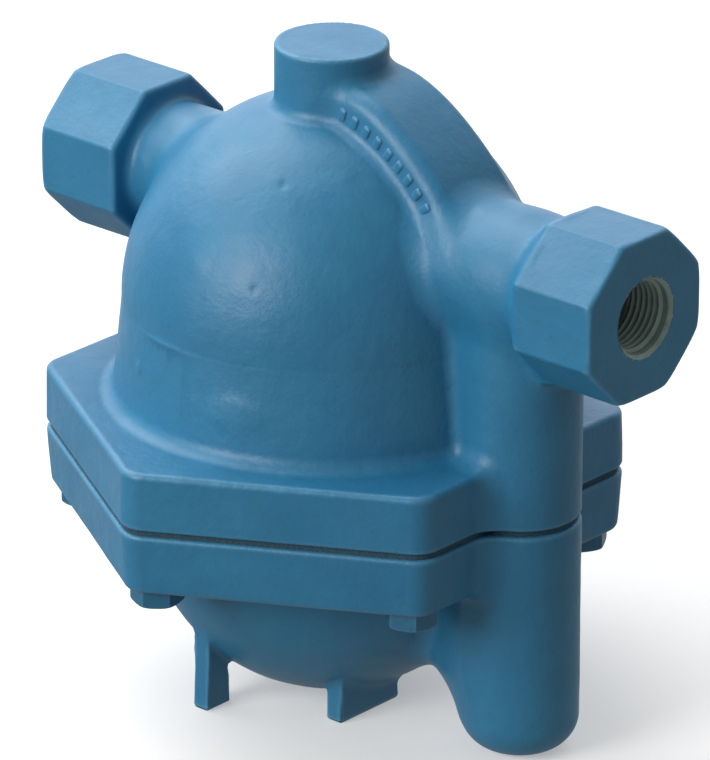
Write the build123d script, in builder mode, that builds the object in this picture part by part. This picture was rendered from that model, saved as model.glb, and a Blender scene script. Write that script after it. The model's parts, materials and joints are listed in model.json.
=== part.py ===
from build123d import *
import math
import os

# An in-line inverted-bucket steam trap, in millimetres, +Z up.
# X runs along the pipe: the inlet port opens towards +X and the outlet port towards -X.
# The origin is the middle of the footprint, on the plane that the trap stands on.

# ---- driving dimensions: the castings ----
face_to_face = 197.0
pipe_height = 134.6
bell_x = -11.0
octagon_flats = 44.6
octagon_length = 27.7
octagon_edge = 1.5
inlet_neck_radius = 18.5
outlet_neck_radius = 17.0
column_from_bell = 68.0
column_radius = 16.0
column_foot_round = 9.5

flange_corner = 81.1
flange_corner_round = 8.0
flange_edge = 1.4
cover_flange_bottom = 49.9
cover_flange_top = 66.9
gasket_thickness = 1.6
gasket_hole_margin = 0.5
body_flange_top = 84.8

bell_centre_z = 112.0
bell_sphere_radius = 56.5
bell_base_radius = 59.5
bell_base_blend = 4.5
chamber_radius = 47.0
chamber_roof_z = 145.0
crest_centre_z = 112.0
crest_radius = 65.5
crest_half_width = 14.0
crest_edge = 2.5
boss_radius = 15.4
boss_top = 183.8
boss_edge = 0.8

bowl_centre_z = 51.0
bowl_radius = 51.5
bowl_inner_radius = 45.5
bowl_flat_z = 3.0
duct_z = 25.5
duct_radius = 13.0
tube_boss_top = 41.0
bowl_floor_z = 10.0
web_half_width = 8.0
duct_fill_length = 28.0
flange_overlap = 5.0
seam_overlap = 1.0

foot_thickness = 5.4
foot_round = 1.8
foot_top = 40.0
front_foot_from_bell = 22.6
front_foot_y = (-23.7, -1.6)
side_foot_from_bell = -9.4
side_foot_y = (34.8, 42.3)

# ---- driving dimensions: passages and ports ----
port_bore_radius = 10.2
port_bore_length = 17.0
port_tap_radius = 9.2
inlet_passage_radius = 7.5
outlet_bore_end = 53.0
outlet_way_radius = 4.0
outlet_way_arc = 50.0
outlet_way_wall = 2.2
outlet_way_turn = 40.0
outlet_way_run = 27.0

# ---- driving dimensions: 5/16 inch cover bolts ----
bolt_circle = 69.0
bolt_radius = 3.97
bolt_hole_radius = 4.0
bolt_clearance_radius = 4.4
bolt_head_flats = 12.7
bolt_head_height = 5.4
bolt_end_z = 80.8
bolt_hole_end_z = 82.0
bolt_chamfer = 0.6

# ---- driving dimensions: valve, lever and bucket ----
seat_from_bell = 12.0
seat_thread_radius = 6.5
seat_thread_length = 12.0
seat_hex_flats = 15.0
seat_hex_height = 4.0
seat_orifice_radius = 2.5
seat_gasket_thickness = 0.8
seat_gasket_radius = 7.4
seat_thread_shorter = 1.0
seat_thread_chamfer = 0.8
seat_way_radius = 3.5

pivot_from_bell = 24.0
pivot_z = 135.0
pin_radius = 1.6
running_gap = 0.05
open_angle = 14.0
lever_width = 6.0
lever_height = 3.0
lever_hub_radius = 3.4
plug_radius = 3.6
bracket_sheet = 1.5
bracket_inner_half = 3.4
bracket_base_half = 10.0
bracket_screw_y = 7.6
bracket_screw_radius = 1.5
bracket_screw_head = 2.3
bracket_screw_depth = 6.0
bracket_hole_depth = 8.0
screw_clearance = 0.2
screw_slot_width = 0.7
screw_slot_depth = 0.8
bracket_width = 7.0
screw_head_height = 1.8
washer_thickness = 0.5
clip_groove_y = 5.4
clip_groove_width = 0.6
clip_thickness = 0.5
clip_radius = 2.9
clip_mouth = 1.8
clip_mouth_depth = 4.0
clip_groove_depth = 0.4
pin_end_chamfer = 0.2
plug_stem_radius = 1.4
plug_stem_proud = 0.5
retainer_radius = 2.6
retainer_thickness = 1.2
lever_end_radius = 2.6
hang_pin_radius = 1.25
hang_pin_half_length = 5.4
pin_half_length = 6.2
assembly_gap = 0.03
shut_gap = 0.12

bucket_radius = 34.0
bucket_wall = 1.2
bucket_bottom_z = 40.0
bucket_top_z = 117.0
bucket_vent_radius = 1.25
bucket_vent_from_axis = 20.0
hanger_sheet = 1.2
hanger_inner_half = 3.5
hanger_length = 12.0
hanger_ear_radius = 2.8
hanger_screw_radius = 1.5
hanger_head_radius = 2.8
hanger_head_height = 1.6
hanger_screw_proud = 0.8
hanger_nut_flats = 5.5
hanger_nut_height = 2.4
bucket_corner = 1.1
weight_thickness = 2.0
weight_height = 6.0
tube_outer_radius = 7.0
tube_inner_radius = 5.4
tube_top_z = 96.0

# ---- worked-out positions ----
half_length = face_to_face / 2
column_x = bell_x + column_from_bell
body_flange_bottom = cover_flange_top + gasket_thickness
octagon_inner = half_length - octagon_length
seat_x = bell_x - seat_from_bell
pivot_x = bell_x - pivot_from_bell
bolt_angles = [30 + 60 * number for number in range(6)]
bolt_spots = [
    (bell_x + bolt_circle * math.cos(math.radians(turn)), bolt_circle * math.sin(math.radians(turn)))
    for turn in bolt_angles
]

# The lever is drawn in its closed place, level, and then dropped by the open angle to its rest place.
pivot_axis = Axis((pivot_x, 0, pivot_z), (0, 1, 0))
hang_reach = pivot_from_bell
hang_x = pivot_x + hang_reach * math.cos(math.radians(open_angle))
hang_z = pivot_z - hang_reach * math.sin(math.radians(open_angle))

seat_face_z = chamber_roof_z - seat_gasket_thickness - seat_hex_height
plug_centre_z = seat_face_z - shut_gap - math.sqrt(plug_radius**2 - seat_orifice_radius**2)
lever_top_z = pivot_z + lever_height / 2
screw_head_z = chamber_roof_z - bracket_sheet - washer_thickness - screw_head_height
column_join_z = cover_flange_bottom + 8.0
web_join_z = cover_flange_bottom + flange_overlap
bell_join_z = body_flange_bottom + flange_overlap
feet = [
    (bell_x + front_foot_from_bell, front_foot_y[0], front_foot_y[1]),
    (bell_x + side_foot_from_bell, -side_foot_y[1], -side_foot_y[0]),
    (bell_x + side_foot_from_bell, side_foot_y[0], side_foot_y[1]),
]

# Round profiles are drawn towards +Y from the axis that they turn about.
crest_plane = Plane(origin=(bell_x, 0, 0), x_dir=(1, 0, 0), z_dir=(0, -1, 0))
bell_profile = Plane(origin=(bell_x, 0, 0), x_dir=(0, 1, 0), z_dir=(1, 0, 0))
bell_axis = Axis((bell_x, 0, 0), (0, 0, 1))
outlet_way_axis = Axis((bell_x, 0, bell_centre_z), (0, -1, 0))
turn = math.radians(outlet_way_turn)
outlet_way_plane = Plane(
    origin=(bell_x - outlet_way_arc * math.sin(turn), 0, bell_centre_z + outlet_way_arc * math.cos(turn)),
    x_dir=(0, 1, 0),
    z_dir=(-math.cos(turn), 0, -math.sin(turn)),
)
column_profile = Plane(origin=(column_x, 0, 0), x_dir=(0, 1, 0), z_dir=(1, 0, 0))
column_axis = Axis((column_x, 0, 0), (0, 0, 1))


def across_pipe(x, z):
    """A plane square to the pipe, its normal along +X, centred at height z."""
    return Plane(origin=(x, 0, z), x_dir=(0, 1, 0), z_dir=(1, 0, 0))


def flange_outline(inset=0.0):
    """The outline of both flanges and the gasket: a rounded hexagon with the column's round ear."""
    with Locations((bell_x, 0)):
        RegularPolygon(flange_corner - inset, 6, rotation=30)
    fillet(vertices(), flange_corner_round - inset)
    with Locations((column_x, 0)):
        Circle(column_radius - inset)


def finish(piece, name):
    """Label one sub-part and write it to its own file."""
    piece.part.label = name
    export_step(piece.part, "parts/" + name + ".step")


os.makedirs("parts", exist_ok=True)

# ---- body: bell, crest rib, boss, both ports and the upper half of the inlet column ----
with BuildPart() as octagon_end:
    with BuildSketch(across_pipe(octagon_inner, pipe_height)):
        RegularPolygon(octagon_flats / 2, 8, major_radius=False, rotation=22.5)
    extrude(amount=octagon_length)
    chamfer(octagon_end.faces().sort_by(Axis.X)[-1].edges(), octagon_edge)
    chamfer(octagon_end.faces().sort_by(Axis.X)[0].edges(), octagon_edge)

with BuildPart() as crest_slab:
    with BuildSketch(crest_plane.offset(-crest_half_width)):
        with BuildLine():
            crest_end_x = math.sqrt(crest_radius**2 - (pipe_height - crest_centre_z) ** 2)
            crest_turn = math.degrees(math.acos(crest_end_x / crest_radius))
            CenterArc((0, crest_centre_z), crest_radius, crest_turn, 90 - crest_turn)
            Line((0, crest_centre_z + crest_radius), (0, pipe_height))
            Line((0, pipe_height), (crest_end_x, pipe_height))
        make_face()
    extrude(amount=2 * crest_half_width)
    chamfer(crest_slab.edges().filter_by(GeomType.CIRCLE), crest_edge)

with BuildPart() as body:
    with BuildSketch(Plane.XY.offset(body_flange_bottom)):
        flange_outline()
    extrude(amount=body_flange_top - body_flange_bottom)
    chamfer(body.faces().sort_by(Axis.Z)[0].edges(), flange_edge)
    chamfer(body.faces().sort_by(Axis.Z)[-1].edges(), flange_edge / 2)

    # The bell is a ball on a slightly flared wall, with a rounded foot on the flange.
    with BuildSketch(bell_profile):
        with BuildLine():
            CenterArc((0, bell_centre_z), bell_sphere_radius, 0, 90)
            Line((bell_sphere_radius, bell_centre_z), (bell_base_radius, body_flange_top + bell_base_blend))
            RadiusArc(
                (bell_base_radius, body_flange_top + bell_base_blend),
                (bell_base_radius + bell_base_blend, body_flange_top),
                -bell_base_blend,
            )
            Line((bell_base_radius + bell_base_blend, body_flange_top), (bell_base_radius, bell_join_z))
            Line((bell_base_radius, bell_join_z), (0, bell_join_z))
            Line((0, bell_join_z), (0, bell_centre_z + bell_sphere_radius))
        make_face()
    revolve(axis=bell_axis)

    add(crest_slab.part)
    add(octagon_end.part)
    add(octagon_end.part.mirror(Plane.YZ))
    # The round necks, the inlet column and the web that ties the column to the bell.
    with BuildSketch(across_pipe(-octagon_inner - seam_overlap, pipe_height)):
        Circle(outlet_neck_radius)
    extrude(amount=octagon_inner + seam_overlap + bell_x)
    with BuildSketch(across_pipe(bell_x, pipe_height)):
        Circle(inlet_neck_radius)
    extrude(amount=octagon_inner + seam_overlap - bell_x)
    with BuildSketch(Plane.XY.offset(body_flange_top - seam_overlap)):
        with Locations((column_x, 0)):
            Circle(column_radius)
    extrude(amount=pipe_height - body_flange_top + seam_overlap)
    with BuildSketch(Plane.XY.offset(body_flange_top - seam_overlap)):
        with Locations(((bell_x + column_x) / 2, 0)):
            Rectangle(column_from_bell, 2 * crest_half_width)
    extrude(amount=pipe_height - body_flange_top + seam_overlap)
    with BuildSketch(Plane.XY.offset(bell_centre_z)):
        with Locations((bell_x, 0)):
            Circle(boss_radius)
    extrude(amount=boss_top - bell_centre_z)
    chamfer(body.faces().sort_by(Axis.Z)[-1].edges(), boss_edge)

    # The chamber that the bucket hangs in, with a flat machined roof for the valve gear.
    with BuildSketch(bell_profile):
        with BuildLine():
            chamber_arc_end = math.acos((chamber_roof_z - bell_centre_z) / chamber_radius)
            chamber_roof_radius = chamber_radius * math.sin(chamber_arc_end)
            CenterArc((0, bell_centre_z), chamber_radius, 0, 90 - math.degrees(chamber_arc_end))
            Line((chamber_roof_radius, chamber_roof_z), (0, chamber_roof_z))
            Line((0, chamber_roof_z), (0, body_flange_bottom))
            Line((0, body_flange_bottom), (chamber_radius, body_flange_bottom))
            Line((chamber_radius, body_flange_bottom), (chamber_radius, bell_centre_z))
        make_face()
    revolve(axis=bell_axis, mode=Mode.SUBTRACT)

    # Ports, and the plain bores behind their threads.
    with BuildSketch(across_pipe(half_length, pipe_height)):
        Circle(port_bore_radius)
    extrude(amount=-port_bore_length, mode=Mode.SUBTRACT)
    with BuildSketch(across_pipe(-half_length, pipe_height)):
        Circle(port_bore_radius)
    extrude(amount=port_bore_length, mode=Mode.SUBTRACT)
    with BuildSketch(across_pipe(half_length, pipe_height)):
        Circle(port_tap_radius)
    extrude(amount=column_x - half_length, mode=Mode.SUBTRACT)
    with BuildSketch(across_pipe(-half_length, pipe_height)):
        Circle(port_tap_radius)
    extrude(amount=half_length + bell_x - outlet_bore_end, mode=Mode.SUBTRACT)
    with BuildSketch(Plane.XY.offset(body_flange_bottom)):
        with Locations((column_x, 0)):
            Circle(inlet_passage_radius)
    extrude(amount=pipe_height - body_flange_bottom, mode=Mode.SUBTRACT)

    # The outlet way curves over the chamber inside its own wall and runs straight down to the outlet bore.
    with BuildSketch(across_pipe(bell_x, bell_centre_z + outlet_way_arc)):
        Circle(outlet_way_radius + outlet_way_wall)
    revolve(axis=outlet_way_axis, revolution_arc=outlet_way_turn)
    with BuildSketch(outlet_way_plane):
        Circle(outlet_way_radius + outlet_way_wall)
    extrude(amount=outlet_way_run / 2)
    with BuildSketch(across_pipe(bell_x, bell_centre_z + outlet_way_arc)):
        Circle(outlet_way_radius)
    revolve(axis=outlet_way_axis, revolution_arc=outlet_way_turn, mode=Mode.SUBTRACT)
    with BuildSketch(outlet_way_plane):
        Circle(outlet_way_radius)
    extrude(amount=outlet_way_run, mode=Mode.SUBTRACT)

    # The seat's tapped hole, and the way from it up into the outlet way.
    with BuildSketch(Plane.XY.offset(chamber_roof_z)):
        with Locations((seat_x, 0)):
            Circle(seat_thread_radius)
    extrude(amount=seat_thread_length, mode=Mode.SUBTRACT)
    with BuildSketch(Plane.XY.offset(chamber_roof_z)):
        with Locations((seat_x, 0)):
            Circle(seat_way_radius)
    extrude(amount=bell_centre_z + outlet_way_arc - chamber_roof_z, mode=Mode.SUBTRACT)
    with BuildSketch(Plane.XY.offset(chamber_roof_z)):
        with Locations((pivot_x, bracket_screw_y), (pivot_x, -bracket_screw_y)):
            Circle(bracket_screw_radius)
    extrude(amount=bracket_hole_depth, mode=Mode.SUBTRACT)
    with BuildSketch(Plane.XY.offset(body_flange_bottom)):
        with Locations(*bolt_spots):
            Circle(bolt_hole_radius)
    extrude(amount=bolt_hole_end_z - body_flange_bottom, mode=Mode.SUBTRACT)
finish(body, "body")

# ---- cover: lower flange, bowl, lower half of the column, inlet duct and feet ----
with BuildPart() as cover_feet:
    for foot_x, low_y, high_y in feet:
        with BuildSketch():
            with Locations((foot_x, (low_y + high_y) / 2)):
                RectangleRounded(foot_thickness, high_y - low_y, foot_round)
        extrude(amount=foot_top)

with BuildPart() as cover:
    with BuildSketch(Plane.XY.offset(cover_flange_bottom)):
        flange_outline()
    extrude(amount=cover_flange_top - cover_flange_bottom)
    chamfer(cover.faces().sort_by(Axis.Z)[0].edges(), flange_edge)
    chamfer(cover.faces().sort_by(Axis.Z)[-1].edges(), flange_edge)

    # The bowl is part of a ball with a flat bottom.
    with BuildSketch(bell_profile):
        with BuildLine():
            bowl_flat_radius = math.sqrt(bowl_radius**2 - (bowl_centre_z - bowl_flat_z) ** 2)
            bowl_flat_turn = math.degrees(math.acos(bowl_flat_radius / bowl_radius))
            CenterArc((0, bowl_centre_z), bowl_radius, -bowl_flat_turn, bowl_flat_turn)
            Line((bowl_radius, bowl_centre_z), (0, bowl_centre_z))
            Line((0, bowl_centre_z), (0, bowl_flat_z))
            Line((0, bowl_flat_z), (bowl_flat_radius, bowl_flat_z))
        make_face()
    revolve(axis=bell_axis)
    # The column ends in a rounded foot that stands on the ground.
    with BuildSketch(column_profile):
        with BuildLine():
            Line((0, 0), (column_radius - column_foot_round, 0))
            CenterArc((column_radius - column_foot_round, column_foot_round), column_foot_round, -90, 90)
            Line((column_radius, column_foot_round), (column_radius, column_join_z))
            Line((column_radius, column_join_z), (0, column_join_z))
            Line((0, column_join_z), (0, 0))
        make_face()
    revolve(axis=column_axis)
    with BuildSketch(across_pipe(bell_x, duct_z)):
        Circle(duct_radius)
        with Locations((0, (web_join_z - duct_z) / 2)):
            Rectangle(2 * web_half_width, web_join_z - duct_z)
    extrude(amount=column_from_bell)
    add(cover_feet.part)

    # Hollow bowl with a flat floor.
    with BuildSketch(bell_profile):
        with BuildLine():
            floor_radius = math.sqrt(bowl_inner_radius**2 - (bowl_centre_z - bowl_floor_z) ** 2)
            floor_turn = math.degrees(math.acos(floor_radius / bowl_inner_radius))
            CenterArc((0, bowl_centre_z), bowl_inner_radius, -floor_turn, floor_turn)
            Line((bowl_inner_radius, bowl_centre_z), (chamber_radius, cover_flange_top))
            Line((chamber_radius, cover_flange_top), (0, cover_flange_top))
            Line((0, cover_flange_top), (0, bowl_floor_z))
            Line((0, bowl_floor_z), (floor_radius, bowl_floor_z))
        make_face()
    revolve(axis=bell_axis, mode=Mode.SUBTRACT)

    # The inlet duct crosses the bowl to a boss on the bell's axis, where the inlet tube stands.
    with BuildSketch(across_pipe(bell_x, duct_z)):
        Circle(duct_radius)
    extrude(amount=bowl_inner_radius)
    with BuildSketch(across_pipe(bell_x, duct_z)):
        with Locations((0, (bowl_floor_z - duct_z) / 2)):
            Rectangle(2 * web_half_width, duct_z - bowl_floor_z)
    extrude(amount=duct_fill_length)
    with BuildSketch(Plane.XY.offset(bowl_floor_z - seam_overlap)):
        with Locations((bell_x, 0)):
            Circle(duct_radius)
    extrude(amount=tube_boss_top - bowl_floor_z + seam_overlap)
    with BuildSketch(across_pipe(bell_x, duct_z)):
        Circle(inlet_passage_radius)
    extrude(amount=column_from_bell, mode=Mode.SUBTRACT)
    with BuildSketch(Plane.XY.offset(duct_z - inlet_passage_radius)):
        with Locations((column_x, 0)):
            Circle(inlet_passage_radius)
    extrude(amount=cover_flange_top - duct_z + inlet_passage_radius, mode=Mode.SUBTRACT)
    with BuildSketch(Plane.XY.offset(duct_z)):
        with Locations((bell_x, 0)):
            Circle(tube_outer_radius + assembly_gap)
    extrude(amount=tube_boss_top - duct_z, mode=Mode.SUBTRACT)
    with BuildSketch(Plane.XY.offset(cover_flange_bottom)):
        with Locations(*bolt_spots):
            Circle(bolt_clearance_radius)
    extrude(amount=cover_flange_top - cover_flange_bottom, mode=Mode.SUBTRACT)
finish(cover, "cover")

with BuildPart() as cover_gasket:
    with BuildSketch(Plane.XY.offset(cover_flange_top)):
        flange_outline(inset=flange_edge)
        with Locations((bell_x, 0)):
            Circle(chamber_radius + gasket_hole_margin, mode=Mode.SUBTRACT)
        with Locations((column_x, 0)):
            Circle(inlet_passage_radius + gasket_hole_margin, mode=Mode.SUBTRACT)
        with Locations(*bolt_spots):
            Circle(bolt_clearance_radius, mode=Mode.SUBTRACT)
    extrude(amount=gasket_thickness)
finish(cover_gasket, "cover_gasket")

with BuildPart() as cover_bolts:
    with BuildSketch(Plane.XY.offset(cover_flange_bottom - bolt_head_height)):
        with Locations(*bolt_spots):
            RegularPolygon(bolt_head_flats / 2, 6, major_radius=False)
    extrude(amount=bolt_head_height)
    chamfer(cover_bolts.faces().filter_by(Axis.Z).group_by(Axis.Z)[0].edges(), bolt_chamfer)
    with BuildSketch(Plane.XY.offset(cover_flange_bottom)):
        with Locations(*bolt_spots):
            Circle(bolt_radius)
    extrude(amount=bolt_end_z - cover_flange_bottom)
    chamfer(cover_bolts.faces().filter_by(Axis.Z).group_by(Axis.Z)[-1].edges(), bolt_chamfer)
finish(cover_bolts, "cover_bolts")

# ---- valve seat, screwed up into the chamber roof on a soft gasket ----
with BuildPart() as seat_gasket:
    with BuildSketch(Plane.XY.offset(chamber_roof_z - seat_gasket_thickness)):
        with Locations((seat_x, 0)):
            Circle(seat_gasket_radius)
            Circle(seat_thread_radius, mode=Mode.SUBTRACT)
    extrude(amount=seat_gasket_thickness)
finish(seat_gasket, "seat_gasket")

with BuildPart() as valve_seat:
    with BuildSketch(Plane.XY.offset(seat_face_z)):
        with Locations((seat_x, 0)):
            RegularPolygon(seat_hex_flats / 2, 6, major_radius=False, rotation=30)
    extrude(amount=seat_hex_height)
    with BuildSketch(Plane.XY.offset(seat_face_z + seat_hex_height)):
        with Locations((seat_x, 0)):
            Circle(seat_thread_radius - assembly_gap)
    extrude(amount=seat_gasket_thickness + seat_thread_length - seat_thread_shorter)
    chamfer(valve_seat.faces().sort_by(Axis.Z)[-1].edges(), seat_thread_chamfer)
    with BuildSketch(Plane.XY.offset(seat_face_z)):
        with Locations((seat_x, 0)):
            Circle(seat_orifice_radius)
    extrude(amount=seat_hex_height + seat_thread_length, mode=Mode.SUBTRACT)
finish(valve_seat, "valve_seat")

# ---- lever bracket: a folded clevis held to the roof by two screws ----
with BuildPart() as lever_bracket:
    with BuildSketch(Plane.XY.offset(chamber_roof_z - bracket_sheet)):
        with Locations((pivot_x, 0)):
            Rectangle(bracket_width, 2 * bracket_base_half)
        with Locations((pivot_x, bracket_screw_y), (pivot_x, -bracket_screw_y)):
            Circle(bracket_screw_radius + screw_clearance, mode=Mode.SUBTRACT)
    extrude(amount=bracket_sheet)
    for side in (-1, 1):
        with BuildSketch(Plane.XZ.offset(-side * (bracket_inner_half + bracket_sheet / 2))):
            with Locations((pivot_x, pivot_z)):
                Circle(bracket_width / 2)
            with Locations((pivot_x, (pivot_z + chamber_roof_z - bracket_sheet / 2) / 2)):
                Rectangle(bracket_width, chamber_roof_z - bracket_sheet / 2 - pivot_z)
            with Locations((pivot_x, pivot_z)):
                Circle(pin_radius + assembly_gap, mode=Mode.SUBTRACT)
        extrude(amount=bracket_sheet / 2, both=True)
finish(lever_bracket, "lever_bracket")

with BuildPart() as bracket_washers:
    with BuildSketch(Plane.XY.offset(chamber_roof_z - bracket_sheet - washer_thickness)):
        with Locations((pivot_x, bracket_screw_y), (pivot_x, -bracket_screw_y)):
            Circle(bracket_screw_head)
            Circle(bracket_screw_radius + screw_clearance, mode=Mode.SUBTRACT)
    extrude(amount=washer_thickness)
finish(bracket_washers, "bracket_washers")

with BuildPart() as bracket_screws:
    with BuildSketch(Plane.XY.offset(screw_head_z)):
        with Locations((pivot_x, bracket_screw_y), (pivot_x, -bracket_screw_y)):
            Circle(bracket_screw_head)
    extrude(amount=screw_head_height)
    with BuildSketch(Plane.XY.offset(screw_head_z)):
        with Locations((pivot_x, bracket_screw_y), (pivot_x, -bracket_screw_y)):
            Circle(bracket_screw_radius - assembly_gap)
    extrude(amount=chamber_roof_z + bracket_screw_depth - screw_head_z)
    with BuildSketch(Plane.XY.offset(screw_head_z)):
        with Locations((pivot_x, bracket_screw_y), (pivot_x, -bracket_screw_y)):
            Rectangle(screw_slot_width, 2 * bracket_screw_head)
    extrude(amount=screw_slot_depth, mode=Mode.SUBTRACT)
finish(bracket_screws, "bracket_screws")

with BuildPart() as pivot_pin:
    with BuildSketch(Plane.XZ.offset(-pin_half_length)):
        with Locations((pivot_x, pivot_z)):
            Circle(pin_radius)
    extrude(amount=2 * pin_half_length)
    chamfer(pivot_pin.edges().filter_by(GeomType.CIRCLE), pin_end_chamfer)
    for side in (-1, 1):
        with BuildSketch(Plane.XZ.offset(-side * clip_groove_y)):
            with Locations((pivot_x, pivot_z)):
                Circle(pin_radius)
                Circle(pin_radius - clip_groove_depth, mode=Mode.SUBTRACT)
        extrude(amount=clip_groove_width / 2, both=True, mode=Mode.SUBTRACT)
finish(pivot_pin, "pivot_pin")

with BuildPart() as pivot_clips:
    for side in (-1, 1):
        with BuildSketch(Plane.XZ.offset(-side * clip_groove_y)):
            with Locations((pivot_x, pivot_z)):
                Circle(clip_radius)
                Circle(pin_radius - clip_groove_depth + assembly_gap, mode=Mode.SUBTRACT)
            with Locations((pivot_x, pivot_z - clip_mouth_depth / 2)):
                Rectangle(clip_mouth, clip_mouth_depth, mode=Mode.SUBTRACT)
        extrude(amount=clip_thickness / 2, both=True)
finish(pivot_clips, "pivot_clips")

# ---- lever body: drawn level with the valve shut, then dropped to its open rest place ----
with BuildPart() as lever_closed:
    with BuildSketch(Plane.XZ.offset(-lever_width / 2)):
        with Locations((pivot_x, pivot_z)):
            Circle(lever_hub_radius)
        with Locations((pivot_x + hang_reach / 2, pivot_z)):
            Rectangle(hang_reach, lever_height)
        with Locations((pivot_x + hang_reach, pivot_z)):
            Circle(lever_end_radius)
        with Locations((pivot_x, pivot_z)):
            Circle(pin_radius + running_gap, mode=Mode.SUBTRACT)
        with Locations((pivot_x + hang_reach, pivot_z)):
            Circle(hang_pin_radius + assembly_gap, mode=Mode.SUBTRACT)
    extrude(amount=lever_width)
    with BuildSketch(Plane.XY.offset(pivot_z - lever_height)):
        with Locations((seat_x, 0)):
            Circle(plug_stem_radius + assembly_gap)
    extrude(amount=2 * lever_height, mode=Mode.SUBTRACT)

with BuildPart() as plug_closed:
    with Locations((seat_x, 0, plug_centre_z)):
        Sphere(plug_radius)
    split(bisect_by=Plane.XY.offset(lever_top_z), keep=Keep.TOP)
    with BuildSketch(Plane.XY.offset(lever_top_z - lever_height - retainer_thickness)):
        with Locations((seat_x, 0)):
            Circle(plug_stem_radius)
    extrude(amount=lever_height + retainer_thickness + plug_stem_proud)

with BuildPart() as retainer_closed:
    with BuildSketch(Plane.XY.offset(lever_top_z - lever_height - retainer_thickness)):
        with Locations((seat_x, 0)):
            Circle(retainer_radius)
            Circle(plug_stem_radius + assembly_gap, mode=Mode.SUBTRACT)
    extrude(amount=retainer_thickness)

with BuildPart() as hang_pin_closed:
    with BuildSketch(Plane.XZ.offset(-hang_pin_half_length)):
        with Locations((pivot_x + hang_reach, pivot_z)):
            Circle(hang_pin_radius)
    extrude(amount=2 * hang_pin_half_length)

lever_pieces = {
    "valve_lever": lever_closed,
    "valve_plug": plug_closed,
    "plug_retainer": retainer_closed,
    "hanger_pin": hang_pin_closed,
}
for piece_name, closed_piece in lever_pieces.items():
    with BuildPart() as dropped:
        add(closed_piece.part.rotate(pivot_axis, open_angle))
    finish(dropped, piece_name)

# ---- bucket: an inverted cup with a vent hole, its rim weight and its hanger ----
with BuildPart() as bucket:
    with BuildSketch(Plane.XY.offset(bucket_bottom_z)):
        with Locations((hang_x, 0)):
            Circle(bucket_radius)
    extrude(amount=bucket_top_z - bucket_bottom_z)
    fillet(bucket.faces().sort_by(Axis.Z)[-1].edges(), bucket_corner)
    with BuildSketch(Plane.XY.offset(bucket_bottom_z)):
        with Locations((hang_x, 0)):
            Circle(bucket_radius - bucket_wall)
    extrude(amount=bucket_top_z - bucket_wall - bucket_bottom_z, mode=Mode.SUBTRACT)
    with BuildSketch(Plane.XY.offset(bucket_top_z - 2 * bucket_wall)):
        with Locations((hang_x, 0)):
            Circle(hanger_screw_radius + screw_clearance)
        with Locations((hang_x + bucket_vent_from_axis, 0)):
            Circle(bucket_vent_radius)
    extrude(amount=3 * bucket_wall, mode=Mode.SUBTRACT)
finish(bucket, "bucket")

with BuildPart() as bucket_weight:
    with BuildSketch(Plane.XY.offset(bucket_bottom_z)):
        with Locations((hang_x, 0)):
            Circle(bucket_radius - bucket_wall - assembly_gap)
            Circle(bucket_radius - bucket_wall - weight_thickness, mode=Mode.SUBTRACT)
    extrude(amount=weight_height)
finish(bucket_weight, "bucket_weight")

with BuildPart() as bucket_hanger:
    with BuildSketch(Plane.XY.offset(bucket_top_z)):
        with Locations((hang_x, 0)):
            Rectangle(hanger_length, 2 * (hanger_inner_half + hanger_sheet))
            Circle(hanger_screw_radius + screw_clearance, mode=Mode.SUBTRACT)
    extrude(amount=hanger_sheet)
    for side in (-1, 1):
        with BuildSketch(Plane.XZ.offset(-side * (hanger_inner_half + hanger_sheet / 2))):
            with Locations((hang_x, hang_z)):
                Circle(hanger_ear_radius)
            with Locations((hang_x, (hang_z + bucket_top_z) / 2)):
                Rectangle(2 * hanger_ear_radius, hang_z - bucket_top_z)
            with Locations((hang_x, hang_z)):
                Circle(hang_pin_radius + running_gap, mode=Mode.SUBTRACT)
        extrude(amount=hanger_sheet / 2, both=True)
finish(bucket_hanger, "bucket_hanger")

with BuildPart() as hanger_screw:
    with BuildSketch(Plane.XY.offset(bucket_top_z - bucket_wall - hanger_head_height)):
        with Locations((hang_x, 0)):
            Circle(hanger_head_radius)
    extrude(amount=hanger_head_height)
    with BuildSketch(Plane.XY.offset(bucket_top_z - bucket_wall)):
        with Locations((hang_x, 0)):
            Circle(hanger_screw_radius)
    extrude(amount=bucket_wall + hanger_sheet + hanger_nut_height + hanger_screw_proud)
finish(hanger_screw, "hanger_screw")

with BuildPart() as hanger_nut:
    with BuildSketch(Plane.XY.offset(bucket_top_z + hanger_sheet)):
        with Locations((hang_x, 0)):
            RegularPolygon(hanger_nut_flats / 2, 6, major_radius=False)
            Circle(hanger_screw_radius + assembly_gap, mode=Mode.SUBTRACT)
    extrude(amount=hanger_nut_height)
finish(hanger_nut, "hanger_nut")

# ---- inlet tube: it carries the condensate up inside the bucket ----
with BuildPart() as inlet_tube:
    with BuildSketch(Plane.XY.offset(duct_z + inlet_passage_radius)):
        with Locations((bell_x, 0)):
            Circle(tube_outer_radius)
            Circle(tube_inner_radius, mode=Mode.SUBTRACT)
    extrude(amount=tube_top_z - duct_z - inlet_passage_radius)
finish(inlet_tube, "inlet_tube")
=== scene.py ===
import json
import math

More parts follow.
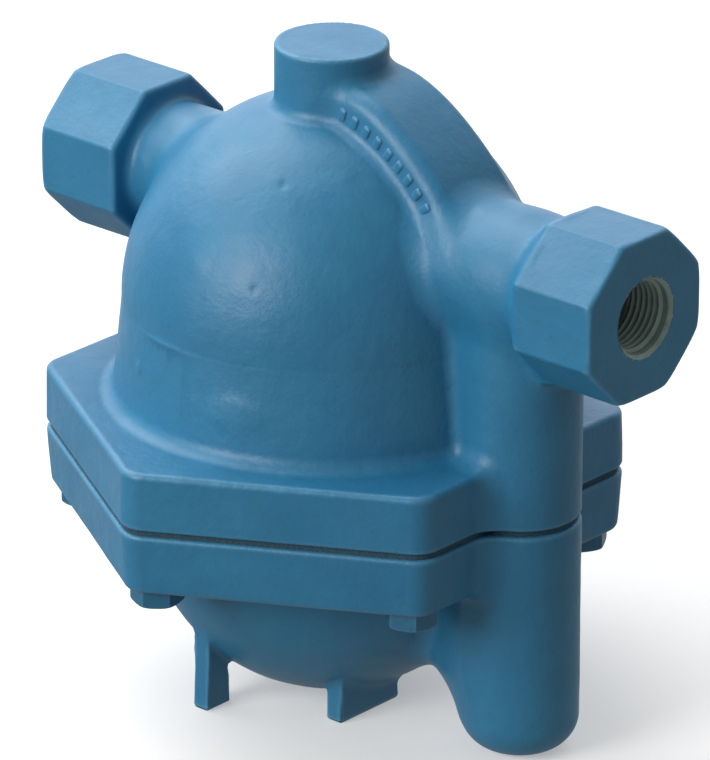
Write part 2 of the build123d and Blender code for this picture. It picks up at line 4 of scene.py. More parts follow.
import bmesh
import bpy
import numpy as np
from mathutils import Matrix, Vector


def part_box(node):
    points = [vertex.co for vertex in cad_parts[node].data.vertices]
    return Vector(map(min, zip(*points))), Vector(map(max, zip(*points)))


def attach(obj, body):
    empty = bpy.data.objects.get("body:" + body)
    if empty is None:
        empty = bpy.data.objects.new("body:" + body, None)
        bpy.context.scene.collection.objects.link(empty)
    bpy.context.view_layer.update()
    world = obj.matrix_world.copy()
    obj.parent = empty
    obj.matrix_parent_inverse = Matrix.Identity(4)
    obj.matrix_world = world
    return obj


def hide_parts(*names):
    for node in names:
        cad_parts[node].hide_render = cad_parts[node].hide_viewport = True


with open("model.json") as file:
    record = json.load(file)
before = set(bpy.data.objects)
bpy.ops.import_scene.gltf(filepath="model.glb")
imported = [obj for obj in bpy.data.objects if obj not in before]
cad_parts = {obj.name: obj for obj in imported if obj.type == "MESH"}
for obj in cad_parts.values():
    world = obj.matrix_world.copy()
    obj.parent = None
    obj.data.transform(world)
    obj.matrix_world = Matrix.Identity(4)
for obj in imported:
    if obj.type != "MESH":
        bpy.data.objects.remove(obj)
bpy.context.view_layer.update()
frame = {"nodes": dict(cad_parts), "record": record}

import openvdb
from mathutils import Vector

# Looks of an in-line inverted-bucket steam trap, built round its CAD frame.
# Shapes are worked out in millimetres, in the frame's own axes, and scaled to metres as they become meshes.
# X runs along the pipe, the inlet towards +X. The trap stands on z = 0.

MM = 0.001


# ---- sizes read from the frame ----
def node_box(node):
    """Lowest and highest corner of a CAD node, in millimetres."""
    low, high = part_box(node)
    return low / MM, high / MM


body_low, body_high = node_box("body")
cover_low, cover_high = node_box("cover")
gasket_low, gasket_high = node_box("cover_gasket")
bolts_low, bolts_high = node_box("cover_bolts")
tube_low, tube_high = node_box("inlet_tube")

half_length = body_high.x
boss_top = body_high.z
cover_joint_z = gasket_low.z
body_joint_z = gasket_high.z
bell_x = (tube_low.x + tube_high.x) / 2

# ---- sizes of the castings ----
pipe_z = 134.6
octagon_flat = 22.3
octagon_length = 27.7
octagon_edge = 1.0
octagon_turned_radius = 23.2
inlet_neck = 18.5
inlet_blend = 5.0
outlet_neck = 17.0
outlet_blend = 2.5
column_x = bell_x + 68.0
column_radius = 16.0
column_foot_round = 9.5
column_fillet = 6.0

flange_flat = 70.2
flange_corner_round = 8.0
flange_edge = 1.7
joint_edge = 1.0
body_draft = math.tan(math.radians(1.0))
cover_draft = math.tan(math.radians(4.0))
joint_overlap = 5
cover_flange_low = 49.9
body_flange_high = 84.8

bell_centre_z = 112.0
bell_radius = 56.5
bell_base_radius = 59.5
bell_foot_fillet = 4.0
bell_ring_z = 111.3
crest_radius = 65.5
crest_rise = 1.25
crest_rise_from_bell = 21.0
crest_rise_length = 12.5
crest_half_width = 14.0
crest_edge = 4.5
crest_back_edge = 2.0
crest_draft = math.tan(math.radians(4.0))
bar_arc_radius = 59.6
bar_count = 9
bar_pitch = 4.5
bar_half_length = 1.9
bar_round = 0.95
bar_first_turn = math.radians(76)
bar_flat_half_width = 0.3
bar_squash = 1.4
pad_turn = math.radians(-74)
pad_z = 98.5
boss_radius = 15.4
boss_edge = 0.9
chamber_radius = 47.0
chamber_roof_z = 145.0

bowl_centre_z = 51.0
bowl_radius = 51.5
bowl_flat_z = 3.0
bowl_inner_radius = 45.5
bowl_throat_flare = 0.094
tube_hole_radius = 7.1
bowl_floor_z = 10.0
duct_z = 25.5
duct_radius = 13.0
web_radius = 11.0
web_low_z = 15.5
web_end_x = column_x - 12.0
web_fillet = 14.0
tube_boss_top = 41.0
foot_half_thickness = 2.7
foot_top = 40.0
foot_spread = 0.04
# Each foot: X from the bell, Y of its middle, and half its width.
feet = [(22.6, -12.65, 11.05), (-9.4, -38.55, 3.75), (-9.4, 38.55, 3.75)]

port_radius = 10.2
port_length = 17.0
port_chamfer = 0.8
port_tap_radius = 9.2
thread_pitch = 1.814
passage_radius = 7.5
outlet_bore_end = 53.0
outlet_way_radius = 4.0
outlet_way_arc = 50.0
outlet_way_wall = 2.2
outlet_way_turn = math.radians(40)
seat_x = bell_x - 12.0
seat_hole_radius = 6.6
seat_hole_depth = 12
seat_way_radius = 3.5

bolt_circle = 69.0
bolt_head_flat = 6.35
bolt_head_height = 5.4
bolt_radius = 3.97
bolt_pitch = 1.41
bolt_plain_length = 14.0
bolt_length = bolts_high.z - bolts_low.z
bolt_spots = [
    (bell_x + bolt_circle * math.cos(math.radians(turn)), bolt_circle * math.sin(math.radians(turn)))
    for turn in range(30, 390, 60)
]


# ---- shapes as distances: below zero inside, above zero outside ----
def join(a, b, radius):
    """Both shapes as one, with a round fillet where they meet."""
    round_part = np.hypot(np.maximum(radius - a, 0), np.maximum(radius - b, 0))
    return np.maximum(radius, np.minimum(a, b)) - round_part


def trim(a, b, radius):
    """What the shapes share, with the edge between them rounded."""
    round_part = np.hypot(np.maximum(radius + a, 0), np.maximum(radius + b, 0))
    return np.minimum(-radius, np.maximum(a, b)) + round_part


def between(value, low, high):
    return np.maximum(low - value, value - high)


def polygon(across, up, sides, flat, corner):
    """A regular polygon with a side facing along `across`, its corners rounded."""
    sector = 2 * math.pi / sides
    turn = np.arctan2(up, across)
    turn = turn - sector * np.round(turn / sector)
    reach = np.hypot(across, up)
    out = reach * np.cos(turn) - (flat - corner)
    half_side = (flat - corner) * math.tan(sector / 2)
    beyond = np.maximum(np.abs(reach * np.sin(turn)) - half_side, 0)
    return np.where(out > 0, np.hypot(out, beyond), out) - corner


def flange_hexagon(x, y, drawn_in):
    """The flanges' outline, drawn in a little where the pattern has draft."""
    return polygon(x - bell_x, y, 6, flange_flat, flange_corner_round) + drawn_in


def bolt_holes(x, y, radius):
    nearest = np.hypot(x - bolt_spots[0][0], y - bolt_spots[0][1])
    for spot_x, spot_y in bolt_spots[1:]:
        nearest = np.minimum(nearest, np.hypot(x - spot_x, y - spot_y))
    return nearest - radius


def end_octagon(x, y, z, side, back_edge):
    """The octagon round one port; side is +1 at the inlet and -1 at the outlet."""
    outline = polygon(y, z - pipe_z, 8, octagon_flat, 0.8)
    turned = np.hypot(y, z - pipe_z) - octagon_turned_radius - (half_length - side * x)
    outline = trim(outline, turned * math.sqrt(0.5), 1.0)
    outline = trim(outline, side * x - half_length, octagon_edge)
    return trim(outline, half_length - octagon_length - side * x, back_edge)


def crest_front(y, z):
    """The distance to the crest's front face, which leans back above the pipe's axis."""
    return -y - crest_half_width + crest_draft * np.maximum(z - pipe_z, 0)


def crest_bars(x, y, z):
    """A row of plain raised bars along the crest's front face."""
    reach = np.hypot(x - bell_x, z - bell_centre_z)
    along = bar_arc_radius * (bar_first_turn - np.arctan2(z - bell_centre_z, x - bell_x))
    along = along - bar_pitch * np.clip(np.round(along / bar_pitch), 0, bar_count - 1)
    aside = np.maximum(np.abs(reach - bar_arc_radius) - bar_half_length + bar_round, 0)
    sides = np.hypot(np.maximum(np.abs(along) - bar_flat_half_width, 0), aside)
    return np.hypot(sides, bar_squash * crest_front(y, z)) - bar_round


def body_outside(x, y, z):
    """The outer skin of the body casting."""
    from_bell = np.hypot(x - bell_x, y)
    from_pipe = np.hypot(y, z - pipe_z)
    octagon_inner = half_length - octagon_length

    hexagon = flange_hexagon(x, y, body_draft * (z - body_joint_z))
    shape = trim(hexagon, between(z, body_joint_z - joint_overlap, body_flange_high), flange_edge)
    column = np.hypot(np.hypot(x - column_x, y), np.maximum(z - pipe_z, 0)) - column_radius
    shape = join(shape, column, column_fillet)
    flare = (bell_base_radius - bell_radius) / (bell_centre_z - body_flange_high)
    wall = from_bell - bell_radius - flare * (bell_centre_z - z)
    dome = np.hypot(from_bell, z - bell_centre_z) - bell_radius
    shape = join(shape, np.where(z > bell_centre_z, dome, wall), bell_foot_fillet)

    rise = crest_rise * np.exp(-(((x - bell_x - crest_rise_from_bell) / crest_rise_length) ** 2))
    crest = np.maximum(np.hypot(x - bell_x, z - bell_centre_z) - crest_radius - rise, pipe_z - z)
    web = np.maximum(x - column_x, z - pipe_z)
    rib = np.maximum(np.minimum(crest, web), bell_x - x)
    rib = trim(trim(rib, crest_front(y, z), crest_edge), y - crest_half_width, crest_back_edge)
    shape = join(shape, rib, 2.6)

    inlet = np.maximum(from_pipe - inlet_neck, between(x, bell_x, octagon_inner + 0.2))
    shape = join(shape, inlet, 4.0)
    outlet = np.maximum(from_pipe - outlet_neck, between(x, -octagon_inner - 0.2, bell_x))
    shape = join(shape, outlet, 5.0)
    shape = join(shape, end_octagon(x, y, z, 1, 3.5), inlet_blend)
    shape = join(shape, end_octagon(x, y, z, -1, 1.4), outlet_blend)
    boss = trim(from_bell - boss_radius, between(z, bell_centre_z, boss_top), boss_edge)
    shape = join(shape, boss, 2.5)
    return trim(shape, body_joint_z - z, joint_edge)


def body_hollows(x, y, z):
    """Every space inside the body casting."""
    from_bell = np.hypot(x - bell_x, y)
    from_pipe = np.hypot(y, z - pipe_z)
    chamber = np.where(z > bell_centre_z, np.hypot(from_bell, z - bell_centre_z), from_bell) - chamber_radius
    hollow = np.maximum(chamber, z - chamber_roof_z)

    # The outlet way's wall stands into the chamber, so it is taken out of the hollow.
    way_turn = np.arctan2(bell_x - x, z - bell_centre_z)
    way = np.hypot(np.hypot(x - bell_x, z - bell_centre_z) - outlet_way_arc, y)
    way = np.hypot(way, outlet_way_arc * np.maximum(np.maximum(-way_turn, way_turn - outlet_way_turn), 0))
    hollow = trim(hollow, outlet_way_radius + outlet_way_wall - way, 1.0)
    hollow = np.minimum(hollow, way - outlet_way_radius)

    mouth = np.maximum(np.abs(x) - half_length + port_chamfer, 0)
    port = np.maximum(from_pipe - port_radius - mouth, half_length - port_length - np.abs(x))
    hollow = np.minimum(hollow, port)
    inlet = np.maximum(from_pipe - port_tap_radius, column_x - x)
    down = np.maximum(np.hypot(x - column_x, y) - passage_radius, z - pipe_z)
    hollow = np.minimum(hollow, np.minimum(inlet, down))
    outlet = np.maximum(from_pipe - port_tap_radius, x - bell_x + outlet_bore_end)
    hollow = np.minimum(hollow, outlet)
    seat_hole = np.maximum(np.hypot(x - seat_x, y) - seat_hole_radius, z - chamber_roof_z - seat_hole_depth)
    seat_way = np.hypot(x - seat_x, y) - seat_way_radius
    seat_way = np.maximum(seat_way, between(z, chamber_roof_z, bell_centre_z + outlet_way_arc))
    hollow = np.minimum(hollow, np.minimum(np.maximum(seat_hole, chamber_roof_z - 1 - z), seat_way))
    bolts = np.maximum(bolt_holes(x, y, bolt_radius + 0.3), z - bolts_high.z - 1)
    return np.minimum(hollow, bolts)


def body_shape(x, y, z):
    return trim(body_outside(x, y, z), -body_hollows(x, y, z), 0.5)


def cover_outside(x, y, z):
    """The outer skin of the cover casting."""
    from_bell = np.hypot(x - bell_x, y)
    hexagon = flange_hexagon(x, y, cover_draft * (cover_joint_z - z))
    shape = trim(hexagon, between(z, cover_flange_low, cover_joint_z + joint_overlap), flange_edge)
    from_column = np.hypot(x - column_x, y)
    column = trim(from_column - column_radius, between(z, 0, 2 * cover_joint_z), column_foot_round)
    # One wall with a round underside carries the duct from the bowl to the column.
    web = np.hypot(y, np.minimum(z - web_low_z - web_radius, 0)) - web_radius
    overlap_z = cover_flange_low + joint_overlap
    web = np.maximum(web, np.maximum(between(x, bell_x, web_end_x), z - overlap_z))
    shape = join(shape, join(column, web, web_fillet), column_fillet)
    bowl = np.maximum(np.hypot(from_bell, z - bowl_centre_z) - bowl_radius, z - overlap_z)
    bowl = trim(bowl, bowl_flat_z - z, 2.0)
    shape = join(shape, bowl, 5.0)

    spread = foot_spread * (foot_top / 2 - z)
    for from_bell_x, foot_y, half_width in feet:
        thickness = np.abs(x - bell_x - from_bell_x) - foot_half_thickness
        width = np.abs(y - foot_y) - half_width - spread
        foot = trim(trim(thickness, width, 0.4), between(z, 0, foot_top), 0.3)
        shape = join(shape, foot, 2.0)
    return trim(shape, z - cover_joint_z, joint_edge)


def cover_hollows(x, y, z):
    """Every space inside the cover casting."""
    from_bell = np.hypot(x - bell_x, y)
    ball = np.hypot(from_bell, z - bowl_centre_z) - bowl_inner_radius
    throat = from_bell - bowl_inner_radius - (z - bowl_centre_z) * bowl_throat_flare
    hollow = np.maximum(np.where(z > bowl_centre_z, throat, ball), bowl_floor_z - z)
    duct = np.maximum(np.hypot(y, z - duct_z) - duct_radius, bell_x - x)
    boss = np.maximum(from_bell - duct_radius, z - tube_boss_top)
    hollow = trim(hollow, -join(duct, boss, 2.0), 1.0)
    passage = np.maximum(np.hypot(y, z - duct_z) - passage_radius, between(x, bell_x, column_x))
    down = np.maximum(np.hypot(x - column_x, y) - passage_radius, duct_z - passage_radius - z)
    tube_hole = np.maximum(from_bell - tube_hole_radius, duct_z - z)
    hollow = np.minimum(hollow, np.minimum(np.minimum(passage, down), tube_hole))
    return np.minimum(hollow, bolt_holes(x, y, bolt_radius + 0.5))


def cover_shape(x, y, z):
    return trim(cover_outside(x, y, z), -cover_hollows(x, y, z), 0.5)


def bolt_shape(x, y, z):
    """One hexagon-headed bolt, its head down on z = 0."""
    reach = np.hypot(x, y)
    head = polygon(y, x, 6, bolt_head_flat, 0.3)
    turned = (reach - bolt_head_flat - 1.7 * z) / 2
    head = trim(trim(head, turned, 0.3), between(z, 0, bolt_head_height - 0.4), 0.25)
    collar = np.maximum(reach - bolt_head_flat + 0.3, between(z, bolt_head_height / 2, bolt_head_height))
    turn = np.arctan2(y, x) / (2 * math.pi)
    groove = 0.7 * np.abs(2 * ((z / bolt_pitch - turn) % 1) - 1) * (z > bolt_head_height + bolt_plain_length)
    shank = trim(reach - bolt_radius + groove, between(z, bolt_head_height / 2, bolt_length), 0.6)
    return np.minimum(np.minimum(head, collar), shank)


# ---- cast skin: slow unevenness and a few marks ----
def skin_waves(seed):
    """Directions, wave numbers and phases of the slow waves in a sand-cast skin."""
    rng = np.random.default_rng(seed)
    lengths = np.concatenate((rng.uniform(24, 60, 10), rng.uniform(7, 16, 14)))
    ways = rng.normal(size=(lengths.size, 3))
    ways /= np.linalg.norm(ways, axis=1)[:, None]
    heights = np.where(lengths > 20, 0.035, 0.010)
    return ways * (2 * math.pi / lengths)[:, None], rng.uniform(0, 2 * math.pi, lengths.size), heights


body_waves = skin_waves(4)
cover_waves = skin_waves(9)


def roughened(x, y, z, waves, machined):
    """Height of the cast skin above the drawn surface, none on machined faces."""
    numbers, phases, heights = waves
    height = np.zeros(np.broadcast(x, y, z).shape)
    for number, phase, size in zip(numbers, phases, heights):
        height += size * np.sin(number[0] * x + number[1] * y + number[2] * z + phase)
    return height * np.clip(machined / 3 - 0.3, 0, 1)


def spot(x, y, z, place, height, size):
    """A pit or a bump in the skin round one place."""
    apart = (x - place[0]) ** 2 + (y - place[1]) ** 2 + (z - place[2]) ** 2
    return height * np.exp(-apart / size**2)


def bell_marks(x, y, z):
    """The pattern's parting step round the bell, a plain faint pad low on its front, and casting spots."""
    turn = np.arctan2(y, x - bell_x)
    strong = 0.02 + 0.45 * np.exp(-(((turn + 1.75) / 0.15) ** 2))
    height = strong * np.exp(-(((z - bell_ring_z) / 0.9) ** 2)) * (np.abs(y) > crest_half_width)
    pad = np.hypot(bell_base_radius * (turn - pad_turn) / 9.0, (z - pad_z) / 4.5)
    height = height + 0.4 / (1 + pad**8) * (z < bell_centre_z)
    height = height + spot(x, y, z, (2.0, -33.2, 155.8), -0.32, 1.2)
    height = height + spot(x, y, z, (6.7, -49.6, 132.4), -0.25, 1.1)
    height = height + spot(x, y, z, (-31.2, -54.1, 100.9), 0.5, 1.3)
    return height + spot(x, y, z, (-12.8, -51.4, 135.5), 0.25, 4.0)


def body_cast(x, y, z):
    machined = np.minimum(z - body_joint_z, half_length - np.abs(x))
    return body_shape(x, y, z) - roughened(x, y, z, body_waves, machined) - bell_marks(x, y, z)


def cover_cast(x, y, z):
    machined = np.minimum(cover_joint_z - z, z)
    return cover_shape(x, y, z) - roughened(x, y, z, cover_waves, machined)


# ---- meshes from distances ----
def slopes(shape, points):
    """Which way the distance grows fastest at each point."""
    step = 0.05
    found = np.empty_like(points)
    for axis in range(3):
        ahead, behind = points.copy(), points.copy()
        ahead[:, axis] += step
        behind[:, axis] -= step
        found[:, axis] = (shape(*ahead.T) - shape(*behind.T)) / (2 * step)
    return found


def thinned(mesh, triangles):
    """The same mesh with at most that many triangles."""
    keeper = bpy.data.objects.new("thinning", mesh)
    bpy.context.scene.collection.objects.link(keeper)
    mesh.calc_loop_triangles()
    squeeze = keeper.modifiers.new("squeeze", "DECIMATE")
    squeeze.ratio = min(1, triangles / len(mesh.loop_triangles))
    graph = bpy.context.evaluated_depsgraph_get()
    result = bpy.data.meshes.new_from_object(keeper.evaluated_get(graph))
    bpy.data.objects.remove(keeper)
    bpy.data.meshes.remove(mesh)
    return result


def sculpt(name, rough_shape, fine_shape, low, high, step, triangles):
    """A mesh of the surface where the shape's distance is zero, its points settled on the fine shape."""
    corner = np.array(low, float) - 2.5 * step
    counts = np.ceil((np.array(high, float) + 2.5 * step - corner) / step).astype(int)
    rows = [np.float32(corner[axis] + step * np.arange(counts[axis])) for axis in range(3)]
    x, y, z = np.ix_(*rows)
    samples = np.clip(rough_shape(x, y, z), -3 * step, 3 * step).astype(np.float32)
    grid = openvdb.FloatGrid(3.0 * step)
    grid.copyFromArray(samples)
    grid.transform = openvdb.createLinearTransform(step)
    points, threes, fours = grid.convertToPolygons(0.0, 0.0)
    points = points.astype(float) + corner

    mesh = bpy.data.meshes.new(name)
    faces = threes.tolist() + fours.tolist()
    mesh.from_pydata((points * MM).tolist(), [], faces)
    mesh = thinned(mesh, triangles)
    mesh.name = name

    points = np.empty(len(mesh.vertices) * 3)
    mesh.vertices.foreach_get("co", points)
    points = points.reshape(-1, 3) / MM
    for _ in range(3):
        slope = slopes(fine_shape, points)
        steep = np.maximum((slope**2).sum(1), 0.25)
        points -= np.clip(fine_shape(*points.T) / steep, -step, step)[:, None] * slope
    points = np.clip(points, np.array(low, float), np.array(high, float))
    mesh.vertices.foreach_set("co", (points * MM).ravel())
    mesh.shade_smooth()
    normals = slopes(fine_shape, points)
    normals /= np.maximum(np.linalg.norm(normals, axis=1), 1e-6)[:, None]
    mesh.normals_split_custom_set_from_vertices(normals.tolist())
    mesh.update()
    return mesh


def line_passages(mesh, material):
    """Gives the casting's bare inside its own material."""
    centres = np.empty(len(mesh.polygons) * 3)
    mesh.polygons.foreach_get("center", centres)
    centres = centres.reshape(-1, 3).T / MM
    hollows = body_hollows if mesh.name.startswith("body") else cover_hollows
    mesh.materials.append(material)
    mesh.polygons.foreach_set("material_index", (hollows(*centres) < 0.25).astype(np.int32))


def machined_bore(name, side):
    """The turned lining of a port and the helical ridge of its pipe thread; side is +1 or -1."""
    per_turn = 64
    lining = [
        (port_radius + 0.85, 0.02), (port_radius - 0.1, 0.97), (port_radius - 0.1, port_length),
        (port_tap_radius - 0.1, port_length), (port_tap_radius - 0.1, 30), (port_tap_radius + 0.5, 30),
        (port_radius + 0.5, port_length + 0.5), (port_radius + 0.5, 1.5),
    ]
    points, faces = [], []

    def put(radius, depth, turn):
        sideways, up = side * radius * math.cos(turn), radius * math.sin(turn)
        points.append((side * (half_length - depth), sideways, pipe_z + up))

    for count in range(per_turn):
        for radius, depth in lining:
            put(radius, depth, 2 * math.pi * count / per_turn)
        this, after = len(lining) * count, len(lining) * ((count + 1) % per_turn)
        ring = [(n, (n + 1) % len(lining)) for n in range(len(lining))]
        faces += [(this + n, this + m, after + m, after + n) for n, m in ring]

    steps = int((port_length - 3.5) / thread_pitch * per_turn)
    first = len(points)
    for count in range(steps + 1):
        tall = min(1, (count + 2) / per_turn, (steps - count + 2) / per_turn)
        for reach, aside in ((0, -0.85), (-tall, -0.15), (-tall, 0.15), (0, 0.85)):
            depth = 1.6 + thread_pitch * count / per_turn - aside
            put(port_radius + reach, depth, -2 * math.pi * count / per_turn)
        if count:
            last, this = first + 4 * count - 4, first + 4 * count
            faces += [(last + n, last + (n + 1) % 4, this + (n + 1) % 4, this + n) for n in range(4)]
    faces += [(first + 3, first + 2, first + 1, first), tuple(first + 4 * steps + n for n in range(4))]

    mesh = bpy.data.meshes.new(name)
    mesh.from_pydata((np.array(points) * MM).tolist(), [], faces)
    shell = bmesh.new()
    shell.from_mesh(mesh)
    bmesh.ops.recalc_face_normals(shell, faces=shell.faces)
    shell.to_mesh(mesh)
    shell.free()
    mesh.shade_smooth()
    mesh.set_sharp_from_angle(angle=math.radians(30))
    return mesh


def add_piece(name, mesh, material, place=(0, 0, 0), turn=0):
    """Shows a mesh as a piece of the casing."""
    piece = bpy.data.objects.new(name, mesh)
    bpy.context.scene.collection.objects.link(piece)
    mesh.materials.clear()
    mesh.materials.append(material)
    piece.location = Vector(place) * MM
    piece.rotation_euler.z = turn
    piece.cycles.shadow_terminator_geometry_offset = 0.5
    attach(piece, "casing")
    return piece


# ---- materials ----
def new_material(name):
    material = bpy.data.materials.new(name)
    material.use_nodes = True
    nodes, links = material.node_tree.nodes, material.node_tree.links
    return material, nodes, links, nodes["Principled BSDF"]


def noise(nodes, links, place, scale, detail, roughness=0.5):
    texture = nodes.new("ShaderNodeTexNoise")
    texture.inputs["Scale"].default_value = scale
    texture.inputs["Detail"].default_value = detail
    texture.inputs["Roughness"].default_value = roughness
    links.new(place, texture.inputs["Vector"])
    return texture.outputs["Fac"]


def remap(nodes, links, value, from_low, from_high, to_low, to_high):
    ramp = nodes.new("ShaderNodeMapRange")
    ramp.inputs["From Min"].default_value = from_low
    ramp.inputs["From Max"].default_value = from_high
    ramp.inputs["To Min"].default_value = to_low
    ramp.inputs["To Max"].default_value = to_high
    links.new(value, ramp.inputs["Value"])
    return ramp.outputs["Result"]


def mix(nodes, links, share, first, second):
    blend = nodes.new("ShaderNodeMix")
    blend.data_type = "RGBA"
    links.new(share, blend.inputs["Factor"])
    for socket, colour in ((blend.inputs[6], first), (blend.inputs[7], second)):
        if isinstance(colour, tuple):
            socket.default_value = (*colour, 1)
        else:
            links.new(colour, socket)
    return blend.outputs[2]


def bump(nodes, links, height, strength, distance, under=None):
    raised = nodes.new("ShaderNodeBump")
    raised.inputs["Strength"].default_value = strength
    raised.inputs["Distance"].default_value = distance
    links.new(height, raised.inputs["Height"])
    if under is not None:
        links.new(under, raised.inputs["Normal"])
    return raised.outputs["Normal"]


def blue_paint(name, deep, pale):
    """Brushed-on machinery enamel over a sand casting."""
    material, nodes, links, shader = new_material(name)
    place = nodes.new("ShaderNodeTexCoord").outputs["Object"]
    drift = remap(nodes, links, noise(nodes, links, place, 22, 3), 0.3, 0.7, 0, 1)
    colour = mix(nodes, links, drift, deep, pale)
    edges = nodes.new("ShaderNodeNewGeometry").outputs["Pointiness"]
    # Convex edges turn lighter: partly paint worn thin, partly a painted highlight along the edges.
    wear_and_edge_highlight = remap(nodes, links, edges, 0.515, 0.565, 0, 0.35)
    colour = mix(nodes, links, wear_and_edge_highlight, colour, (0.16, 0.42, 0.62))
    # Concave creases turn darker: partly grime, partly painted shade where the creases fall into shadow.
    grime_and_crease_shade = remap(nodes, links, edges, 0.483, 0.43, 0, 0.5)
    colour = mix(nodes, links, grime_and_crease_shade, colour, (0.010, 0.055, 0.10))
    patch = remap(nodes, links, noise(nodes, links, place, 75, 5, 0.6), 0.35, 0.65, 0, 0.30)
    colour = mix(nodes, links, patch, colour, tuple(0.80 * part for part in deep))
    speck = remap(nodes, links, noise(nodes, links, place, 420, 4, 0.6), 0.64, 0.74, 0, 0.35)
    colour = mix(nodes, links, speck, colour, (0.012, 0.085, 0.16))
    links.new(colour, shader.inputs["Base Color"])
    gloss = remap(nodes, links, noise(nodes, links, place, 60, 4), 0.3, 0.7, 0.36, 0.50)
    links.new(gloss, shader.inputs["Roughness"])
    sand = bump(nodes, links, noise(nodes, links, place, 190, 6, 0.6), 0.42, 0.0007)
    peel = bump(nodes, links, noise(nodes, links, place, 900, 3), 0.20, 0.0002, sand)
    links.new(peel, shader.inputs["Normal"])
    shader.inputs["IOR"].default_value = 1.5
    return material


def fibre_gasket(name):
    """Pressed-fibre sheet, dark, tinted blue all over by the paint, mottled by its fibres."""
    material, nodes, links, shader = new_material(name)
    place = nodes.new("ShaderNodeTexCoord").outputs["Object"]
    fibres = noise(nodes, links, place, 1500, 6, 0.7)
    share = remap(nodes, links, fibres, 0.35, 0.65, 0, 1)
    colour = mix(nodes, links, share, (0.012, 0.04, 0.06), (0.03, 0.09, 0.13))
    links.new(colour, shader.inputs["Base Color"])
    shader.inputs["Roughness"].default_value = 0.85
    links.new(bump(nodes, links, fibres, 0.5, 0.0003), shader.inputs["Normal"])
    return material


def steel(name, tone, rough, grain_scale):
    """Bare metal with a fine grain and a slight tarnish."""
    material, nodes, links, shader = new_material(name)
    place = nodes.new("ShaderNodeTexCoord").outputs["Object"]
    tarnish = remap(nodes, links, noise(nodes, links, place, 90, 5, 0.6), 0.35, 0.7, 0, 1)
    dulled = tuple(0.72 * part for part in tone)
    links.new(mix(nodes, links, tarnish, tone, dulled), shader.inputs["Base Color"])
    grain = noise(nodes, links, place, grain_scale, 4)
    links.new(remap(nodes, links, grain, 0.3, 0.7, rough, rough + 0.18), shader.inputs["Roughness"])
    links.new(bump(nodes, links, grain, 0.15, 0.0001), shader.inputs["Normal"])
    shader.inputs["Metallic"].default_value = 1.0
    return material


def raw_iron(name):
    """Machined grey iron inside the ports, dull and lightly oiled."""
    material, nodes, links, shader = new_material(name)
    place = nodes.new("ShaderNodeTexCoord").outputs["Object"]
    patches = remap(nodes, links, noise(nodes, links, place, 140, 5, 0.6), 0.3, 0.7, 0, 1)
    links.new(mix(nodes, links, patches, (0.20, 0.30, 0.29), (0.30, 0.40, 0.38)), shader.inputs["Base Color"])
    shader.inputs["Roughness"].default_value = 0.5
    shader.inputs["Metallic"].default_value = 0.3
    links.new(bump(nodes, links, noise(nodes, links, place, 1200, 3), 0.2, 0.0001), shader.inputs["Normal"])
    return material


paint = blue_paint("blue_paint", (0.018, 0.155, 0.300), (0.024, 0.185, 0.340))
# The bolts carry the same blue paint, here in a darker copy: painted shade for heads that sit under the
# flange.
shaded_bolt_paint = blue_paint("blue_paint_bolts", (0.016, 0.120, 0.230), (0.022, 0.150, 0.275))
gasket_material = fibre_gasket("gasket_fibre")
port_iron = raw_iron("port_iron")
steels = {
    "stainless": steel("stainless", (0.62, 0.61, 0.58), 0.22, 900),
    "hard_steel": steel("hard_steel", (0.50, 0.49, 0.47), 0.16, 1400),
    "soft_iron": steel("soft_iron", (0.33, 0.32, 0.30), 0.42, 600),
    "bucket_steel": steel("bucket_steel", (0.58, 0.57, 0.55), 0.28, 350),
    "bucket_weight": steel("bucket_weight", (0.36, 0.35, 0.33), 0.45, 500),
}

# ---- castings ----
cast_step = 0.9
cast_triangles = 180_000
body_mesh = sculpt(
    "body_casting", body_shape, body_cast, body_low, body_high, cast_step, cast_triangles
)
body_casting = add_piece("body_casting", body_mesh, paint)
line_passages(body_mesh, port_iron)
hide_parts("body")
cover_mesh = sculpt(
    "cover_casting", cover_shape, cover_cast, cover_low, cover_high, cast_step, cast_triangles
)
cover_casting = add_piece("cover_casting", cover_mesh, paint)
line_passages(cover_mesh, port_iron)
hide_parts("cover")

# ---- bars on the crest, bores of the ports, and bolts ----
bar_low = (bell_x, -crest_half_width - bar_round, bell_centre_z)
bar_high = (bell_x + crest_radius, bar_round - crest_half_width / 2, bell_centre_z + crest_radius)
bar_mesh = sculpt("crest_bars", crest_bars, crest_bars, bar_low, bar_high, 0.35, 12_000)
add_piece("crest_bars", bar_mesh, paint)
add_piece("inlet_bore", machined_bore("inlet_bore", 1), port_iron)
add_piece("outlet_bore", machined_bore("outlet_bore", -1), port_iron)

bolt_half_corner = bolt_head_flat / math.cos(math.pi / 6)
bolt_corner_low = (-bolt_half_corner, -bolt_head_flat, 0)
bolt_corner_high = (bolt_half_corner, bolt_head_flat, bolt_length)
bolt_mesh = sculpt("cover_bolt", bolt_shape, bolt_shape, bolt_corner_low, bolt_corner_high, 0.35, 16_000)
for number, (spot_x, spot_y) in enumerate(bolt_spots):
    bolt = add_piece(
        f"cover_bolt_{number}", bolt_mesh, shaded_bolt_paint,
        (spot_x, spot_y, bolts_low.z), 0.7 * number
    )
    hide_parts("cover_bolts")

# ---- CAD nodes that stay get better materials ----
looks = {"gasket": gasket_material, **steels}
for entry in frame["record"]["subparts"]:
    for holder in frame["nodes"][entry["node"]].material_slots:
        if entry["material_slot"] in looks:
            holder.material = looks[entry["material_slot"]]

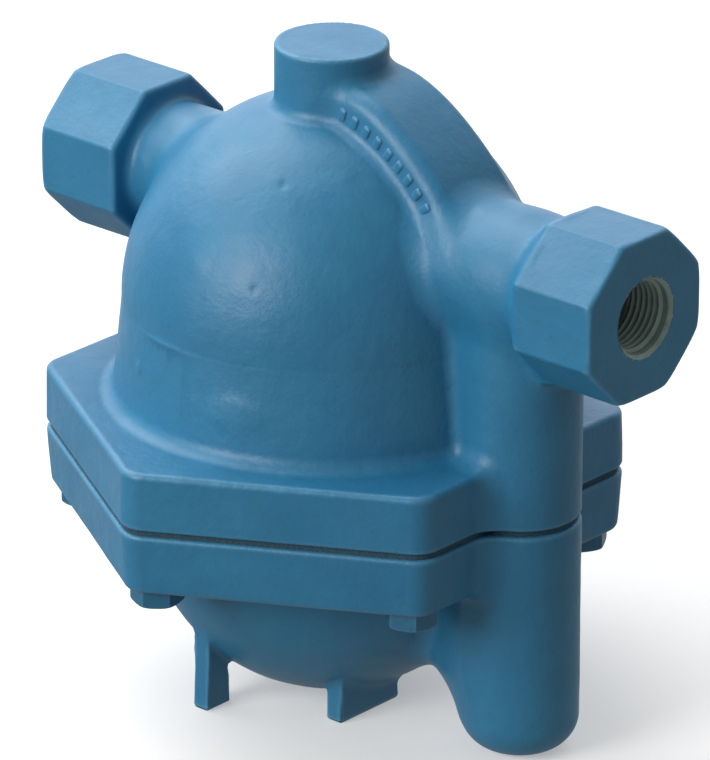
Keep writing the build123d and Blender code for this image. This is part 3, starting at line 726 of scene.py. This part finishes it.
# ---- floor, light and camera ----
floor_mesh = bpy.data.meshes.new("floor")
floor_mesh.from_pydata([(-6, -6, 0), (6, -6, 0), (6, 6, 0), (-6, 6, 0)], [], [(0, 1, 2, 3)])
floor = bpy.data.objects.new("floor", floor_mesh)
bpy.context.scene.collection.objects.link(floor)
floor_material, _, _, floor_shader = new_material("floor")
floor_shader.inputs["Base Color"].default_value = (0.62, 0.62, 0.62, 1)
floor_shader.inputs["Roughness"].default_value = 0.9
floor_shader.inputs["Emission Color"].default_value = (1, 1, 1, 1)
floor_shader.inputs["Emission Strength"].default_value = 0.34
floor_mesh.materials.append(floor_material)
floor.visible_diffuse = False
floor.visible_glossy = False

# A dim studio with a bright wall behind and to the left, which the level faces mirror.
world = bpy.data.worlds.new("studio")
bpy.context.scene.world = world
world.use_nodes = True
world_nodes, world_links = world.node_tree.nodes, world.node_tree.links
toward_wall = world_nodes.new("ShaderNodeVectorMath")
toward_wall.operation = "DOT_PRODUCT"
toward_wall.inputs[1].default_value = Vector((-0.60, 0.65, 0.45)).normalized()
world_links.new(world_nodes.new("ShaderNodeTexCoord").outputs["Generated"], toward_wall.inputs[0])
wall_share = remap(world_nodes, world_links, toward_wall.outputs["Value"], 0.45, 0.95, 0, 1)
studio_glow = mix(world_nodes, world_links, wall_share, (0.34, 0.33, 0.31), (1.45, 1.5, 1.6))
world_links.new(studio_glow, world_nodes["Background"].inputs["Color"])


def soft_light(name, place, aim, size, power):
    lamp = bpy.data.lights.new(name, "AREA")
    lamp.shape = "DISK"
    lamp.size = size
    lamp.energy = power
    holder = bpy.data.objects.new(name, lamp)
    holder.location = place
    holder.rotation_euler = (Vector(aim) - Vector(place)).to_track_quat("-Z", "Y").to_euler()
    bpy.context.scene.collection.objects.link(holder)
    return holder


middle = Vector((0, 0, 0.1))
soft_light("key", middle + 1.6 * Vector((-0.60, -0.05, 0.80)), middle, 1.8, 24)
soft_light("front", middle + 1.5 * Vector((-0.20, -0.89, 0.40)), middle, 0.9, 16)

view_turn, view_height = math.radians(42.2), math.radians(22.9)
back = Vector((
    math.sin(view_turn) * math.cos(view_height),
    -math.cos(view_turn) * math.cos(view_height),
    math.sin(view_height),
))
camera = bpy.data.objects.new("camera", bpy.data.cameras.new("camera"))
camera.location = Vector((-0.00267, 0, 0.08865)) + back * 1.8351
camera.rotation_euler = (-back).to_track_quat("-Z", "Y").to_euler()
camera.data.lens = 322.49
camera.data.sensor_width = 36
camera.data.clip_end = 20
bpy.context.scene.collection.objects.link(camera)
bpy.context.scene.camera = camera
bpy.context.scene.view_settings.view_transform = "Standard"
